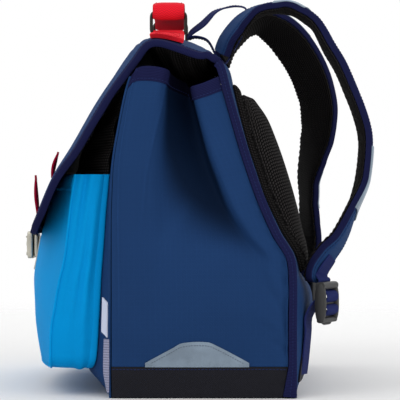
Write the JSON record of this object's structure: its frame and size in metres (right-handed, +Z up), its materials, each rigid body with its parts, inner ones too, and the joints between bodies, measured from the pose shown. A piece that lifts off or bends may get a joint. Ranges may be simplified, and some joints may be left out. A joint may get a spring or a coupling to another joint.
{
  "type": "school satchel backpack",
  "caption": "Box-shaped school satchel backpack with a large bound front flap, tuck clasp, front pocket, top handle, padded mesh back and two shoulder straps.",
  "frame": {"origin": "centre of the foot's bottom face, on the floor it stands on", "axes": "+Z up, -Y towards the flap, clasp and pocket, +Y towards the shoulder straps, +X towards the side with the label"},
  "size_m": [0.3874, 0.3547, 0.4001],
  "materials": {
    "navy_cloth": "matt ripstop polyester with a fine square weave",
    "indigo_tape": "matt ribbed grosgrain tape",
    "black_coated": "coated black fabric with a fine dotted relief",
    "cyan_cloth": "matt polyester canvas",
    "crimson_cloth": "matt felted fabric",
    "red_webbing": "woven polyester webbing",
    "navy_webbing": "ribbed polyester webbing",
    "black_mesh": "padded spacer mesh",
    "silver_patch": "satin reflective film on fabric",
    "grey_ribbed": "ribbed reflective tape",
    "white_label": "matt woven label, blank",
    "nickel": "nickel plated, lightly brushed",
    "dark_nickel": "dark nickel plated wire",
    "grey_plastic": "matt moulded plastic"
  },
  "bodies": {
    "root": {"base_panel": "black_coated", "base_band_right": "black_coated", "base_band_left": "black_coated", "side_panel_right": "navy_cloth", "side_panel_left": "navy_cloth", "side_hem_right": "indigo_tape", "side_hem_left": "indigo_tape", "front_panel": "navy_cloth", "back_panel": "navy_cloth", "back_binding_right": "indigo_tape", "back_binding_left": "indigo_tape", "flap": "navy_cloth", "flap_binding": "indigo_tape", "pocket_front": "cyan_cloth", "pocket_gusset": "cyan_cloth", "pocket_piping": "cyan_cloth", "corner_reflector_right": "grey_ribbed", "corner_reflector_left": "grey_ribbed", "side_reflector_right": "silver_patch", "side_reflector_left": "silver_patch", "side_label": "white_label", "tab_lower": "crimson_cloth", "tab_upper": "crimson_cloth", "clasp_plate": "nickel", "clasp_lock": "nickel", "clasp_rivet_right": "nickel", "clasp_rivet_left": "nickel", "handle_anchor_right": "red_webbing", "handle_anchor_left": "red_webbing", "handle_ring_right": "dark_nickel", "handle_ring_left": "dark_nickel", "handle_grip": "red_webbing", "hang_loop": "navy_webbing", "back_base_pad": "black_mesh", "back_pad_right": "black_mesh", "back_pad_left": "black_mesh", "strap_pad_right": "navy_cloth", "strap_pad_left": "navy_cloth", "strap_mesh_right": "black_mesh", "strap_mesh_left": "black_mesh", "strap_reflector_upper_right": "silver_patch", "strap_reflector_upper_left": "silver_patch", "strap_reflector_lower_right": "silver_patch", "strap_reflector_lower_left": "silver_patch", "strap_webbing_right": "navy_webbing", "strap_webbing_left": "navy_webbing", "buckle_right": "grey_plastic", "buckle_left": "grey_plastic", "anchor_webbing_right": "navy_webbing", "anchor_webbing_left": "navy_webbing", "anchor_patch_right": "black_coated", "anchor_patch_left": "black_coated"}
  },
  "joints": []
}
